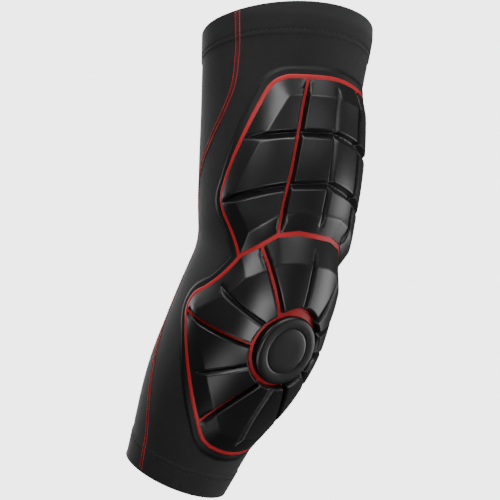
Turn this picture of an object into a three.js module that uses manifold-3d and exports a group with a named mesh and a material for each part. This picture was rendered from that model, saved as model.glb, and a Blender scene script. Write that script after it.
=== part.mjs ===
// Elbow guard: a compression sleeve in the shape of a slightly bent arm, with a moulded pad on its back.
// Lengths are in millimetres and angles in degrees. +Z runs up the upper arm, -Y is the point of the
// elbow and +Y its crook. The origin is inside the hollow sleeve, where the centrelines of the upper
// arm and the forearm would cross.
import * as THREE from 'three';
import { mergeVertices } from 'three/addons/utils/BufferGeometryUtils.js';
import Module from 'manifold-3d';

const wasm = await Module();
wasm.setup();

// Arm that the sleeve is shaped to
const upperArmLength = 134;
const forearmLength = 149;
const elbowFlexion = 34.3;
const elbowBendRadius = 70;
const upperRimTilt = -10;
const lowerRimTilt = -4.6;
const sleeveHalfWidth = 54;
const sleeveBackDepth = 51;
const sleeveFrontDepth = 54;

// Cloth
const clothWall = 1.6;
const hemLength = 16;
const hemExtra = 0.5;
const seamGap = 0.3;

// Layers of the pad, from the sleeve outwards
const clothClearance = 0.7;
const layerGap = 0.3;
const flangeThickness = 0.6;
const webThickness = 0.5;
const padThickness = 4.4;
const padEdgeHeight = 0.7;

// Outline of the pad, measured on the flat before it is wrapped round the arm
const plainCuffAbove = 32.5;
const plainCuffBelow = 32.5;
const padTopFall = 3.5;
const padTopHalfWidth = 34.5;
const upperPadHalfWidth = 71;
const upperPadWidestAbove = 25;
const waistHalfWidth = 51.5;
const waistBelow = 3;
const elbowPadHalfWidth = 77;
const elbowPadWidestBelow = 38;
const padBottomHalfWidth = 22.5;
const padBottomRise = 4;
const flangeMargin = 5.5;
const redLineWidth = 2.6;
const endBulgeRadius = 60;
const topCornerRadius = 17;
const upperPadCornerRadius = 16;
const elbowPadCornerRadius = 16;
const bottomCornerRadius = 20;

// Blocks of the pad
const innerLineWidth = 2.3;
const wideBevel = 10.5;
const boundaryBevel = 6.5;
const steepBevel = 1;
const columnHalfWidthTop = 16.3;
const columnHalfWidthFoot = 26;
const boundaryBendAbove = 10;
const boundaryArchAbove = 12.2;
const boundaryMiddleAbove = 12.2;
const rowGrooveFloor = 0.5;
const rowGrooveSteepWall = 1.1;
const rowGrooveSlopedWall = 4;
const shallowGrooveFloor = 1.9;
const shallowGrooveWall = 1.6;
const fanGrooveFloor = 1.2;
const fanGrooveSlopedWall = 2.8;

// Round cap on the point of the elbow, and the ring of red line round it
const capBelow = 40;
const capRadius = 21.4;
const capChamfer = 1.1;
const capMiddleThickness = 1.9;
const ringWidth = 2.4;
const fanReach = 60;
const elbowFlat = 2.5;
const elbowFlatReach = 22;

// Fineness of the faceted solids
const alongStep = 11.5;
const acrossStep = 9.5;
const clothAlongStep = 12;
const frontAcrossStep = 12;
const hemStep = 1;
const arcStep = 28;
const ringSides = 30;
const capSides = 36;
const bedColumns = 10;
const backPanelTurn = 100;

// Cutters run this far past what they cut, all the way across the pad where they are long.
const cutMargin = 1;
const cutOverrun = 220;
const cutFar = 260;
const bevelCutAbove = 0.4;
const grooveCutAbove = 0.5;
const capDepth = 14;

const radians = THREE.MathUtils.degToRad;
const wrapRadius = 0.8 * sleeveHalfWidth;
const padTop = -(upperArmLength - plainCuffAbove);
const padBottom = forearmLength - plainCuffBelow;
const ringRadius = capRadius + ringWidth;
const flangeBottom = clothClearance;
const webBottom = flangeBottom + flangeThickness + layerGap;
const blockBottom = webBottom + webThickness + layerGap;
const blockEdge = blockBottom + padEdgeHeight;
const blockTop = blockBottom + padThickness;

// Sections of the sleeve. "along" is a share of the upper arm above the elbow (negative) or of the
// forearm below it; the others are shares of the three sleeve sizes.
const sections = [
  { along: -1.00, halfWidth: 1.00, back: 1.00, front: 0.79 },
  { along: -0.66, halfWidth: 0.90, back: 0.83, front: 0.90 },
  { along: -0.33, halfWidth: 0.84, back: 0.75, front: 0.96 },
  { along: -0.12, halfWidth: 0.79, back: 0.63, front: 0.96 },
  { along: 0.00, halfWidth: 0.73, back: 0.61, front: 1.00 },
  { along: 0.12, halfWidth: 0.75, back: 0.69, front: 0.96 },
  { along: 0.30, halfWidth: 0.79, back: 0.79, front: 0.90 },
  { along: 0.62, halfWidth: 0.76, back: 0.65, front: 0.84 },
  { along: 1.00, halfWidth: 0.58, back: 0.65, front: 0.60 },
];

// Seam between the two cloth panels: its angle from the back of the arm, all the way down.
const seamTurns = [
  { along: -1.10, turn: 73 },
  { along: -0.80, turn: 74 },
  { along: -0.67, turn: 79 },
  { along: -0.48, turn: 103 },
  { along: -0.33, turn: 126 },
  { along: 0.00, turn: 139 },
  { along: 0.35, turn: 130 },
  { along: 0.61, turn: 108 },
  { along: 0.83, turn: 89 },
  { along: 1.10, turn: 77 },
];

// Cross grooves of the upper pad, as heights above the elbow: at the middle of the pad, at the red
// column line and at the side of the pad.
const rowGrooves = [
  { middle: 68, column: 66, side: 57 },
  { middle: 38.7, column: 36, side: 23 },
];

// Lines that fan out from the cap: their angle from "up the arm" at the ring and at the outer edge.
const fanLines = {
  upperRed: { inner: 34, outer: 39 },
  upperShallow: { inner: 59, outer: 69 },
  sideRed: { inner: 93.5, outer: 92.5 },
  lowerSide: { inner: 121, outer: 125 },
  lowerRed: { inner: 157, outer: 154 },
};

function armShare(along) {
  return along < 0 ? along / upperArmLength : along / forearmLength;
}

function curveThrough(table, columns) {
  const places = table.map((row) => row.along);
  const values = table.flatMap((row) => columns.map((name) => row[name]));
  const curve = new THREE.CubicInterpolant(places, values, columns.length);
  const first = places[0];
  const last = places[places.length - 1];
  return (along) => curve.evaluate(THREE.MathUtils.clamp(armShare(along), first, last));
}

const sectionShares = curveThrough(sections, ['halfWidth', 'back', 'front']);
const seamTurn = curveThrough(seamTurns, ['turn']);

// Centreline of the arm: a straight upper arm, an arc at the elbow and a straight forearm.
function centreline(along) {
  const bend = radians(elbowFlexion);
  const halfArc = elbowBendRadius * bend / 2;
  const tangentLength = elbowBendRadius * Math.tan(bend / 2);
  const turned = THREE.MathUtils.clamp((along + halfArc) / elbowBendRadius, 0, bend);
  const point = new THREE.Vector3(
    0,
    elbowBendRadius * (1 - Math.cos(turned)),
    tangentLength - elbowBendRadius * Math.sin(turned),
  );
  const down = new THREE.Vector3(0, Math.sin(turned), -Math.cos(turned));
  const outwards = new THREE.Vector3(0, -Math.cos(turned), -Math.sin(turned));
  const beyond = Math.min(along + halfArc, 0) + Math.max(along - halfArc, 0);
  return { point: point.addScaledVector(down, beyond), down, outwards };
}

// The one map that shapes every piece: "along" runs down the arm from the elbow, "across" runs round
// the arm from the middle of its back, and "height" is the distance outside the sleeve.
function wrap(along, across, height) {
  const [widthShare, backShare, frontShare] = sectionShares(along);
  const halfWidth = widthShare * sleeveHalfWidth;
  const turn = across / wrapRadius;
  const back = Math.cos(turn) > 0;
  const depth = back ? backShare * sleeveBackDepth : frontShare * sleeveFrontDepth;
  const slope = new THREE.Vector2(Math.sin(turn) / halfWidth, Math.cos(turn) / depth).normalize();
  const fromCap = Math.hypot(along - capBelow, across) / elbowFlatReach;
  const lifted = height - elbowFlat * Math.exp(-fromCap * fromCap);
  const { point, outwards } = centreline(along);
  point.addScaledVector(outwards, depth * Math.cos(turn) + lifted * slope.y);
  point.x += halfWidth * Math.sin(turn) + lifted * slope.x;
  return point;
}

// Moves every vertex of a closed geometry and joins the vertices that meet.
function reshaped(geometry, move) {
  const places = geometry.attributes.position;
  for (let i = 0; i < places.count; i += 1) {
    const moved = move(places.getX(i), places.getY(i), places.getZ(i));
    places.setXYZ(i, moved.x, moved.y, moved.z);
  }
  geometry.deleteAttribute('normal');
  geometry.deleteAttribute('uv');
  return mergeVertices(geometry, 1e-4);
}

// Cloth panels

function rimShift(along, across, rimAlong, tilt) {
  const [, backShare, frontShare] = sectionShares(along);
  const turn = Math.cos(across / wrapRadius);
  const depth = turn > 0 ? backShare * sleeveBackDepth : frontShare * sleeveFrontDepth;
  const share = THREE.MathUtils.clamp(along / rimAlong, 0, 1) ** 3;
  return depth * turn * Math.tan(radians(tilt)) * share;
}

function clothRows() {
  const top = -upperArmLength;
  const bottom = forearmLength;
  const count = Math.round((bottom - top - 2 * (hemLength + hemStep)) / clothAlongStep);
  const rows = [top, top + hemLength / 2, top + hemLength];
  for (let i = 0; i <= count; i += 1) {
    rows.push(THREE.MathUtils.lerp(top + hemLength + hemStep, bottom - hemLength - hemStep, i / count));
  }
  return [...rows, bottom - hemLength, bottom - hemLength / 2, bottom];
}

function clothPanel(edges, columns) {
  const rows = clothRows();
  const sheet = new THREE.BoxGeometry(1, 1, 1, rows.length - 1, columns, 1);
  return reshaped(sheet, (x, y, z) => {
    const row = rows[Math.round((x + 0.5) * (rows.length - 1))];
    const [from, to] = edges(row);
    const across = wrapRadius * THREE.MathUtils.lerp(from, to, y + 0.5);
    const inHem = row <= hemLength - upperArmLength || row >= forearmLength - hemLength;
    const outside = inHem ? hemExtra : 0;
    const along = row + rimShift(row, across, -upperArmLength, upperRimTilt) * (row < 0)
      + rimShift(row, across, forearmLength, lowerRimTilt) * (row > 0);
    return wrap(along, across, z > 0 ? outside : -clothWall);
  });
}

function backPanel() {
  return clothPanel((row) => {
    const edge = radians(seamTurn(row)[0]) - seamGap / 2 / wrapRadius;
    return [-edge, edge];
  }, Math.round(2 * radians(backPanelTurn) * wrapRadius / acrossStep));
}

function frontPanel() {
  return clothPanel((row) => {
    const edge = radians(seamTurn(row)[0]) + seamGap / 2 / wrapRadius;
    return [edge, 2 * Math.PI - edge];
  }, Math.round(2 * radians(180 - backPanelTurn) * wrapRadius / frontAcrossStep));
}

// Outline of the pad

function outlineCorners() {
  const left = [
    { along: padTop, across: 0, radius: endBulgeRadius },
    { along: padTop + padTopFall, across: -padTopHalfWidth, radius: topCornerRadius },
    { along: -upperPadWidestAbove, across: -upperPadHalfWidth, radius: upperPadCornerRadius },
    { along: waistBelow, across: -waistHalfWidth, radius: 0 },
    { along: elbowPadWidestBelow, across: -elbowPadHalfWidth, radius: elbowPadCornerRadius },
    { along: padBottom - padBottomRise, across: -padBottomHalfWidth, radius: bottomCornerRadius },
    { along: padBottom, across: 0, radius: endBulgeRadius },
  ];
  const right = left.slice(1, -1).reverse().map((corner) => ({ ...corner, across: -corner.across }));
  return [...left, ...right];
}

function flat(along, across) {
  return new THREE.Vector2(along, across);
}

// Outward side of an edge that has the pad on its left.
function outward(from, to) {
  const step = to.clone().sub(from).normalize();
  return flat(step.y, -step.x);
}

function crossing(a, aStep, b, bStep) {
  const apart = b.clone().sub(a);
  return a.clone().addScaledVector(aStep, apart.cross(bStep) / aStep.cross(bStep));
}

// The outline moved outwards by a margin (inwards if it is negative), with rounded corners. Each
// corner gives one list of points.
function outline(margin) {
  const corners = outlineCorners();
  const points = corners.map((corner) => flat(corner.along, corner.across));
  const at = (i) => points[(i + points.length) % points.length];
  return corners.map((corner, i) => {
    const before = at(i).clone().sub(at(i - 1)).normalize();
    const after = at(i + 1).clone().sub(at(i)).normalize();
    const sideBefore = outward(at(i - 1), at(i));
    const sideAfter = outward(at(i), at(i + 1));
    const moved = crossing(
      at(i).clone().addScaledVector(sideBefore, margin), before,
      at(i).clone().addScaledVector(sideAfter, margin), after,
    );
    const turn = Math.asin(before.cross(after));
    const radius = Math.max(corner.radius + margin * Math.sign(turn), 0);
    const count = radius > 0 ? Math.max(1, Math.round(Math.abs(turn) / radians(arcStep))) : 0;
    const centreSide = Math.sign(turn) * radius;
    const start = moved.clone().addScaledVector(before, -radius * Math.tan(Math.abs(turn) / 2));
    const centre = start.clone().addScaledVector(sideBefore, -centreSide);
    const spoke = start.clone().sub(centre);
    return Array.from({ length: count + 1 }, (_, k) => (
      spoke.clone().rotateAround(flat(0, 0), count ? turn * k / count : 0).add(centre)
    ));
  });
}

// Solids on the flat, made with cuts

function solid(geometry) {
  geometry.deleteAttribute('normal');
  geometry.deleteAttribute('uv');
  const merged = mergeVertices(geometry, 1e-5);
  const triVerts = new Uint32Array(merged.index.array);
  const faceID = Uint32Array.from({ length: triVerts.length / 3 }, (_, i) => i);
  const vertProperties = new Float32Array(merged.attributes.position.array);
  return new wasm.Manifold(new wasm.Mesh({ numProp: 3, vertProperties, triVerts, faceID }));
}

function slab(bottom, top) {
  const reach = flangeMargin + alongStep;
  const columns = 2 * Math.ceil((elbowPadHalfWidth + reach) / acrossStep);
  const rows = Math.ceil((padBottom - padTop + 2 * reach) / alongStep);
  const box = new THREE.BoxGeometry(rows * alongStep, columns * acrossStep, top - bottom, rows, columns, 1);
  return solid(box.translate(padTop - reach + rows * alongStep / 2, 0, (bottom + top) / 2));
}

function film(margin, bottom, thickness) {
  const shape = new THREE.Shape(outline(margin).flat());
  const prism = new THREE.ExtrudeGeometry(shape, { depth: thickness + 2 * cutMargin, bevelEnabled: false });
  return slab(bottom, bottom + thickness).intersect(solid(prism.translate(0, 0, bottom - cutMargin)));
}

// A long bar whose section is drawn with x to the right of the line and y upwards.
function bar(from, to, section) {
  const step = to.clone().sub(from).normalize();
  const length = from.distanceTo(to) + 2 * cutOverrun;
  const side = outward(from, to);
  const start = to.clone().addScaledVector(step, cutOverrun);
  const shape = new THREE.Shape(section.map(([x, y]) => new THREE.Vector2(x, y)));
  const steps = Math.round(length / alongStep);
  const geometry = new THREE.ExtrudeGeometry(shape, { depth: length, steps, bevelEnabled: false });
  geometry.applyMatrix4(new THREE.Matrix4().makeBasis(
    new THREE.Vector3(side.x, side.y, 0),
    new THREE.Vector3(0, 0, 1),
    new THREE.Vector3(-step.x, -step.y, 0),
  ).setPosition(start.x, start.y, 0));
  return solid(geometry);
}

// What lies outside an edge, with an upright foot and a sloping bevel above it.
function edgeCut({ from, to, bevel }) {
  const rise = blockTop - blockEdge;
  const top = blockTop + bevelCutAbove * rise;
  return bar(from, to, [
    [0, blockBottom - cutMargin],
    [cutFar, blockBottom - cutMargin],
    [cutFar, top],
    [-bevel * (1 + bevelCutAbove), top],
    [0, blockEdge],
  ]);
}

// A groove along a line, with a floor at the given height over the block's underside.
function grooveCut(from, to, floor, wallLeft, wallRight) {
  const bottom = blockBottom + floor;
  const top = blockTop + grooveCutAbove * (blockTop - bottom);
  return bar(from, to, [
    [0, bottom],
    [wallRight * (1 + grooveCutAbove), top],
    [-wallLeft * (1 + grooveCutAbove), top],
  ]);
}

// Cuts the round place for the cap and its ring out of the fan, with a steep bevel.
function ringCut() {
  const rise = blockTop - blockEdge;
  const profile = [
    [0, blockBottom - cutMargin],
    [ringRadius, blockBottom - cutMargin],
    [ringRadius, blockEdge],
    [ringRadius + 2 * steepBevel, blockEdge + 2 * rise],
    [0, blockEdge + 2 * rise],
  ].map(([x, y]) => new THREE.Vector2(x, y));
  const lathe = new THREE.LatheGeometry(profile, ringSides);
  return solid(lathe.rotateX(Math.PI / 2).translate(capBelow, 0, 0));
}

function edgesAlong(points, bevel) {
  return points.slice(1).map((to, i) => ({ from: points[i], to, bevel }));
}

// An edge beside a line, half a line's width away from it.
function beside(from, to, lineWidth, bevel) {
  const shift = outward(from, to).multiplyScalar(-lineWidth / 2);
  return { from: from.clone().add(shift), to: to.clone().add(shift), bevel };
}

function mirrored(point) {
  return flat(point.x, -point.y);
}

function mirroredEdges(edges) {
  return edges.map(({ from, to, bevel }) => ({ from: mirrored(to), to: mirrored(from), bevel }));
}

// A block keeps what lies inside each of its edges. A hollow side is drawn by several edges too, and
// there it loses only what lies outside all of them.
function block(edges, grooves, hollowSide = []) {
  const cuts = [...edges.map(edgeCut), ...grooves];
  if (hollowSide.length > 0) {
    cuts.push(hollowSide.map(edgeCut).reduce((shared, cut) => shared.intersect(cut)));
  }
  return cuts.reduce((piece, cut) => piece.subtract(cut), slab(blockBottom, blockTop));
}

// Upper pad: three blocks side by side, each crossed by the row grooves

const rim = outline(-redLineWidth);
const rimTopToWaist = [...rim[0], ...rim[1], ...rim[2], rim[3][0]];
const rimWaistToBottom = [rim[3].at(-1), ...rim[4], ...rim[5]];
const rimBottom = [rim[5], rim[6], rim[7]].flat();
const rimTop = [rim[11], rim[0], rim[1]].flat();
const waist = flat(waistBelow, -waistHalfWidth);
const boundaryBend = flat(-boundaryBendAbove, -columnHalfWidthFoot);
const boundaryArch = flat(-boundaryArchAbove, -columnHalfWidthFoot / 2);
const boundaryMiddle = flat(-boundaryMiddleAbove, 0);
const columnTop = flat(padTop, -columnHalfWidthTop);

function rowGrooveCuts(fromSide) {
  return rowGrooves.map(({ middle, column, side }) => {
    const outer = flat(-side, -upperPadHalfWidth);
    const line = flat(-column, -columnHalfWidthTop);
    const centre = flat(-middle, 0);
    return fromSide
      ? grooveCut(outer, line, rowGrooveFloor, rowGrooveSteepWall, rowGrooveSlopedWall)
      : grooveCut(line, centre, rowGrooveFloor, rowGrooveSteepWall, rowGrooveSlopedWall);
  });
}

function upperSideBlock() {
  return block([
    ...edgesAlong(rimTopToWaist, wideBevel),
    beside(waist, boundaryBend, redLineWidth, boundaryBevel),
    beside(boundaryBend, columnTop, innerLineWidth, steepBevel),
  ], rowGrooveCuts(true));
}

// The row grooves bend at the middle of the pad, so each is its left half and that half's mirror image.
function bentRowGrooveCuts() {
  const rightHalf = bar(flat(-1, 0), flat(1, 0), [[-cutFar, 0], [0, 0], [0, 2 * blockTop], [-cutFar, 2 * blockTop]]);
  return rowGrooveCuts(false).flatMap((groove) => {
    const left = groove.subtract(rightHalf);
    return [left, left.mirror([0, 1, 0])];
  });
}

function upperMiddleBlock() {
  const columnEdge = beside(columnTop, boundaryBend, innerLineWidth, steepBevel);
  const foot = [
    beside(boundaryBend, boundaryArch, redLineWidth, boundaryBevel),
    beside(boundaryArch, boundaryMiddle, redLineWidth, boundaryBevel),
  ];
  const middle = grooveCut(
    boundaryMiddle, flat(padTop, 0), shallowGrooveFloor, shallowGrooveWall, shallowGrooveWall,
  );
  return block(
    [...edgesAlong(rimTop, wideBevel), columnEdge, ...mirroredEdges([columnEdge])],
    [...bentRowGrooveCuts(), middle],
    [...foot, ...mirroredEdges(foot)],
  );
}

// Elbow pad: six blocks that fan out from the cap

function fanPoint(angle, reach) {
  return flat(capBelow - reach * Math.cos(radians(angle)), -reach * Math.sin(radians(angle)));
}

function fanEnds(line) {
  return [fanPoint(line.inner, ringRadius), fanPoint(line.outer, fanReach)];
}

// Edges that run beside a red line of the fan, outwards from the cap or inwards to it.
function outwardsBeside(line) {
  const [inner, outer] = fanEnds(line);
  return beside(inner, outer, innerLineWidth, steepBevel);
}

function inwardsBeside(line) {
  const [inner, outer] = fanEnds(line);
  return beside(outer, inner, innerLineWidth, steepBevel);
}

function elbowTopBlock() {
  const left = [
    beside(boundaryMiddle, boundaryArch, redLineWidth, wideBevel),
    beside(boundaryArch, boundaryBend, redLineWidth, wideBevel),
    beside(boundaryBend, waist, redLineWidth, wideBevel),
    inwardsBeside(fanLines.upperRed),
  ];
  const middle = grooveCut(
    flat(capBelow, 0), flat(-boundaryMiddleAbove, 0), shallowGrooveFloor, shallowGrooveWall, shallowGrooveWall,
  );
  return block([...left, ...mirroredEdges(left)], [middle, ringCut()]);
}

function elbowUpperSideBlock() {
  const [inner, outer] = fanEnds(fanLines.upperShallow);
  const groove = grooveCut(inner, outer, shallowGrooveFloor, shallowGrooveWall, shallowGrooveWall);
  return block([
    beside(boundaryBend, waist, redLineWidth, wideBevel),
    ...edgesAlong(rimWaistToBottom, wideBevel),
    inwardsBeside(fanLines.sideRed),
    outwardsBeside(fanLines.upperRed),
  ], [groove, ringCut()]);
}

function elbowLowerSideBlock() {
  const [inner, outer] = fanEnds(fanLines.lowerSide);
  const groove = grooveCut(outer, inner, fanGrooveFloor, rowGrooveSteepWall, fanGrooveSlopedWall);
  return block([
    ...edgesAlong(rimWaistToBottom, wideBevel),
    inwardsBeside(fanLines.lowerRed),
    outwardsBeside(fanLines.sideRed),
  ], [groove, ringCut()]);
}

function elbowBottomBlock() {
  const side = outwardsBeside(fanLines.lowerRed);
  const middle = grooveCut(
    flat(capBelow, 0), flat(padBottom, 0), shallowGrooveFloor, shallowGrooveWall, shallowGrooveWall,
  );
  return block([side, ...edgesAlong(rimBottom, wideBevel), ...mirroredEdges([side])], [middle, ringCut()]);
}

// From the flat to the arm. "side" is -1 for a piece as drawn and 1 for its mirror image.
function wrapped(piece, side = -1) {
  const mesh = piece.getMesh();
  const geometry = new THREE.BufferGeometry();
  const triangles = Array.from(mesh.triVerts);
  if (side > 0) {
    triangles.reverse();
  }
  geometry.setAttribute('position', new THREE.BufferAttribute(new Float32Array(mesh.vertProperties), 3));
  geometry.setIndex(triangles);
  return reshaped(geometry, (along, across, height) => wrap(along, -side * across, height));
}

// The cap is a flat round disc whose underside follows the layer below it.
function cap() {
  const seat = blockBottom;
  const centre = wrap(capBelow, 0, seat + capMiddleThickness);
  const up = wrap(capBelow - 1, 0, seat).sub(wrap(capBelow + 1, 0, seat)).normalize();
  const side = new THREE.Vector3(1, 0, 0);
  const out = new THREE.Vector3().crossVectors(side, up);
  const profile = [
    [0, -capDepth], [capRadius, -capDepth], [capRadius, -capChamfer], [capRadius - capChamfer, 0], [0, 0],
  ].map(([x, y]) => new THREE.Vector2(x, y));
  const disc = new THREE.LatheGeometry(profile, capSides);
  disc.applyMatrix4(new THREE.Matrix4().makeBasis(side, out, new THREE.Vector3().crossVectors(side, out)));
  disc.translate(centre.x, centre.y, centre.z);
  const bedSize = 3 * capRadius;
  const under = new THREE.BoxGeometry(bedSize, bedSize, 2 * capDepth, bedColumns, bedColumns, 1);
  const bed = solid(reshaped(under.translate(capBelow, 0, seat - capDepth), wrap));
  const mesh = solid(disc).subtract(bed).getMesh();
  const geometry = new THREE.BufferGeometry();
  geometry.setAttribute('position', new THREE.BufferAttribute(new Float32Array(mesh.vertProperties), 3));
  geometry.setIndex(Array.from(mesh.triVerts));
  return geometry;
}

// Materials

function finish(color, roughness) {
  return new THREE.MeshStandardMaterial({ color, roughness, metalness: 0 });
}

const materials = {
  cloth: () => finish(0x242426, 0.9),
  flange: () => finish(0x0c0c0d, 0.6),
  web: () => finish(0xa82424, 0.5),
  block: () => finish(0x19191a, 0.4),
};

const guard = new THREE.Group();

function add(name, geometry, material) {
  const mesh = new THREE.Mesh(geometry, material());
  mesh.name = name;
  guard.add(mesh);
}

add('sleeve_back_panel', backPanel(), materials.cloth);
add('sleeve_front_panel', frontPanel(), materials.cloth);
add('pad_flange', wrapped(film(flangeMargin, flangeBottom, flangeThickness)), materials.flange);
add('pad_web', wrapped(film(0, webBottom, webThickness)), materials.web);
add('upper_pad_middle', wrapped(upperMiddleBlock()), materials.block);
add('elbow_pad_top', wrapped(elbowTopBlock()), materials.block);
add('elbow_pad_bottom', wrapped(elbowBottomBlock()), materials.block);
[['left', -1], ['right', 1]].forEach(([name, side]) => {
  add(`upper_pad_${name}`, wrapped(upperSideBlock(), side), materials.block);
  add(`elbow_pad_upper_${name}`, wrapped(elbowUpperSideBlock(), side), materials.block);
  add(`elbow_pad_lower_${name}`, wrapped(elbowLowerSideBlock(), side), materials.block);
});
add('elbow_cap', cap(), materials.block);

export default guard;
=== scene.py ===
# Elbow guard: the finish of every surface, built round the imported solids.
# Sizes are in millimetres until a mesh is made, and angles in degrees, as in the part's source.
import math

import bmesh
import bpy
import numpy as np
from mathutils import Matrix, Vector, geometry, kdtree


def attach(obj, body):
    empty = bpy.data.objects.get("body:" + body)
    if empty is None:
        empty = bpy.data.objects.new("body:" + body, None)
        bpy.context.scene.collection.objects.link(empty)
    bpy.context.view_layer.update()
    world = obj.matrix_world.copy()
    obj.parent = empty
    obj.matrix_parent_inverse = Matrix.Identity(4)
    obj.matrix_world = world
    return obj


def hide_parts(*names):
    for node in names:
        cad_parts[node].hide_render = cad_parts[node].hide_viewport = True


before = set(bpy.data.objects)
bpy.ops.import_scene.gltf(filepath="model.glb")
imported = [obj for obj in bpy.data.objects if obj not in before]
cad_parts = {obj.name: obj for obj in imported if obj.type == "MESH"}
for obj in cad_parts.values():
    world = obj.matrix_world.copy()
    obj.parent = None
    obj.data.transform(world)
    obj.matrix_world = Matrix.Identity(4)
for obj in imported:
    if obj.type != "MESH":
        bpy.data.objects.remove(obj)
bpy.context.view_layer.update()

MM = 0.001

# Arm that the sleeve is shaped to
UPPER_ARM = 134.0
FOREARM = 149.0
ELBOW_FLEXION = 34.3
ELBOW_BEND_RADIUS = 70.0
UPPER_RIM_TILT = -10.0
LOWER_RIM_TILT = -4.6
SLEEVE_HALF_WIDTH = 54.0
SLEEVE_BACK_DEPTH = 51.0
SLEEVE_FRONT_DEPTH = 54.0
WRAP_RADIUS = 0.8 * SLEEVE_HALF_WIDTH

# Cloth
CLOTH_WALL = 1.6
HEM_LENGTH = 16.0
HEM_EXTRA = 0.5
HEM_STITCH_INSET = HEM_LENGTH - 2.4
HEM_STITCH_DIP = 0.28
HEM_ROUND = 0.55
SEAM_GAP = 0.3
SEAM_STITCH_OFFSET = 1.15

# Layers of the pad, as heights over the sleeve
FLANGE_BOTTOM = 0.15
FLANGE_TOP = 1.3
WEB_BOTTOM = 1.4
WEB_TOP = 2.35
BLOCK_BOTTOM = 2.4
BLOCK_EDGE = 2.8
BLOCK_TOP = 6.8
FLANGE_EDGE = 0.25
FLANGE_RISE = 3.6
FLANGE_BEAD_HEIGHT = 0.3
FLANGE_BEAD_INSET = 2.1
FLANGE_BEAD_WIDTH = 0.7
FLANGE_RING_INSETS = (0.5, 1.0, 1.5, FLANGE_BEAD_INSET, 2.7, 3.3, 4.0)
WEB_EDGE_DROP = 0.35
WEB_EDGE_WIDTH = 0.7
WEB_RING_INSETS = (0.25, 0.5, 0.8)

# Outline of the pad on the flat
PLAIN_CUFF = 32.5
PAD_TOP = -(UPPER_ARM - PLAIN_CUFF)
PAD_BOTTOM = FOREARM - PLAIN_CUFF
UPPER_HALF_WIDTH = 71.0
FLANGE_MARGIN = 5.5
RED_LINE = 2.6
BOUNDARY_LINE = 2.1
INNER_LINE = 1.7
WIDE_BEVEL = 10.5
BOUNDARY_BEVEL = 6.5
STEEP_BEVEL = 1.0
COLUMN_TOP = 16.3
COLUMN_FOOT = 26.0
BOUNDARY_BEND = 10.0
BOUNDARY_ARCH = 12.2
WAIST = np.array([3.0, -51.5])

# Grooves
ROW_FLOOR = 0.5
STEEP_WALL = 1.1
ROW_SLOPED_WALL = 4.0
FAN_FLOOR = 1.2
FAN_SLOPED_WALL = 2.8
SHALLOW_FLOOR = 1.9
SHALLOW_WALL = 1.6
GROOVE_ROUNDING = 0.2
THINNEST_BLOCK = 0.3

# Cap
CAP_BELOW = 40.0
CAP_RADIUS = 21.4
CAP_CHAMFER = 1.1
CAP_MIDDLE = 1.9
CAP_SEAT_STEP = 8.0
CAP_TURN_STEP = 2.5
CAP_GROOVE = [
    # radius, height from the cap's face
    (12.8, 0.0), (13.2, -0.06), (13.6, -0.24), (14.2, -0.24), (14.6, -0.06), (15.0, 0.0),
]
RING_RADIUS = CAP_RADIUS + 2.4
FAN_REACH = 60.0
ELBOW_FLAT = 2.5
ELBOW_FLAT_REACH = 22.0

# Fineness
LATTICE = 1.9
FILM_LATTICE = 3.0
WEB_LATTICE = 2.2
FINE_LATTICE = 0.55
GUIDE_STEP = 0.8
GUIDE_REACH = 80.0
GUIDE_CLEARANCE = 0.2
GUIDE_DEPTH = 0.35
CREASE_SPREAD = 0.55
CREASE_SIDE = 0.5
ARC_STEP = 6.0
RING_STEP = 0.5
CLOSEST = 0.05
ROUNDING = 0.32
SLIVER = 0.04
SMOOTH_ANGLE = 38
ROW_STEP = 1.6
HEM_STEP = 1.5
HEM_STITCH_STEP = 0.4
BACK_COLUMNS = 150
FRONT_COLUMNS = 130

# Sections of the sleeve: share of the upper arm (negative) or forearm, and shares of the three sizes.
SECTIONS = [
    # along, half width, back, front
    (-1.00, 1.00, 1.00, 0.79),
    (-0.66, 0.90, 0.83, 0.90),
    (-0.33, 0.84, 0.75, 0.96),
    (-0.12, 0.79, 0.63, 0.96),
    (0.00, 0.73, 0.61, 1.00),
    (0.12, 0.75, 0.69, 0.96),
    (0.30, 0.79, 0.79, 0.90),
    (0.62, 0.76, 0.65, 0.84),
    (1.00, 0.58, 0.65, 0.60),
]

# Seam: share of the arm, and its angle from the back of the arm
SEAM = [
    (-1.10, 73), (-0.80, 74), (-0.67, 79), (-0.48, 103), (-0.33, 126),
    (0.00, 139), (0.35, 130), (0.61, 108), (0.83, 89), (1.10, 77),
]

# Row grooves, above the elbow: at the middle, at the column line and at the side
ROW_GROOVES = [(68.0, 66.0, 57.0), (38.7, 36.0, 23.0)]

# Fan lines: angle from "up the arm" at the ring and at the outer edge
UPPER_RED = (34, 39)
UPPER_SHALLOW = (59, 69)
SIDE_RED = (93.5, 92.5)
LOWER_SIDE = (121, 125)
LOWER_RED = (157, 154)


# The arm's surface

def curve_through(table):
    """A smooth curve through the table's rows, the same one that the solids follow."""
    rows = np.array(table, float)
    t, v = rows[:, 0], rows[:, 1:]
    last = len(t) - 1

    def at(x):
        x = np.clip(np.asarray(x, float), t[0], t[-1])
        i1 = np.clip(np.searchsorted(t, x, side="right"), 1, last)
        i0 = i1 - 1
        before = np.where(i0 > 0, i0 - 1, i1)
        after = np.where(i1 < last, i1 + 1, i0)
        half = (t[i1] - t[i0]) / 2
        wp = half / (t[i0] - t[before])
        wn = half / (t[after] - t[i1])
        p = (x - t[i0]) / (t[i1] - t[i0])
        sp = -wp * p**3 + 2 * wp * p**2 - wp * p
        s0 = (1 + wp) * p**3 + (-1.5 - 2 * wp) * p**2 + (-0.5 + wp) * p + 1
        s1 = (-1 - wn) * p**3 + (1.5 + wn) * p**2 + 0.5 * p
        sn = wn * p**3 - wn * p**2
        parts = ((sp, before), (s0, i0), (s1, i1), (sn, after))
        return sum(w[..., None] * v[i] for w, i in parts)

    return at


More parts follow.
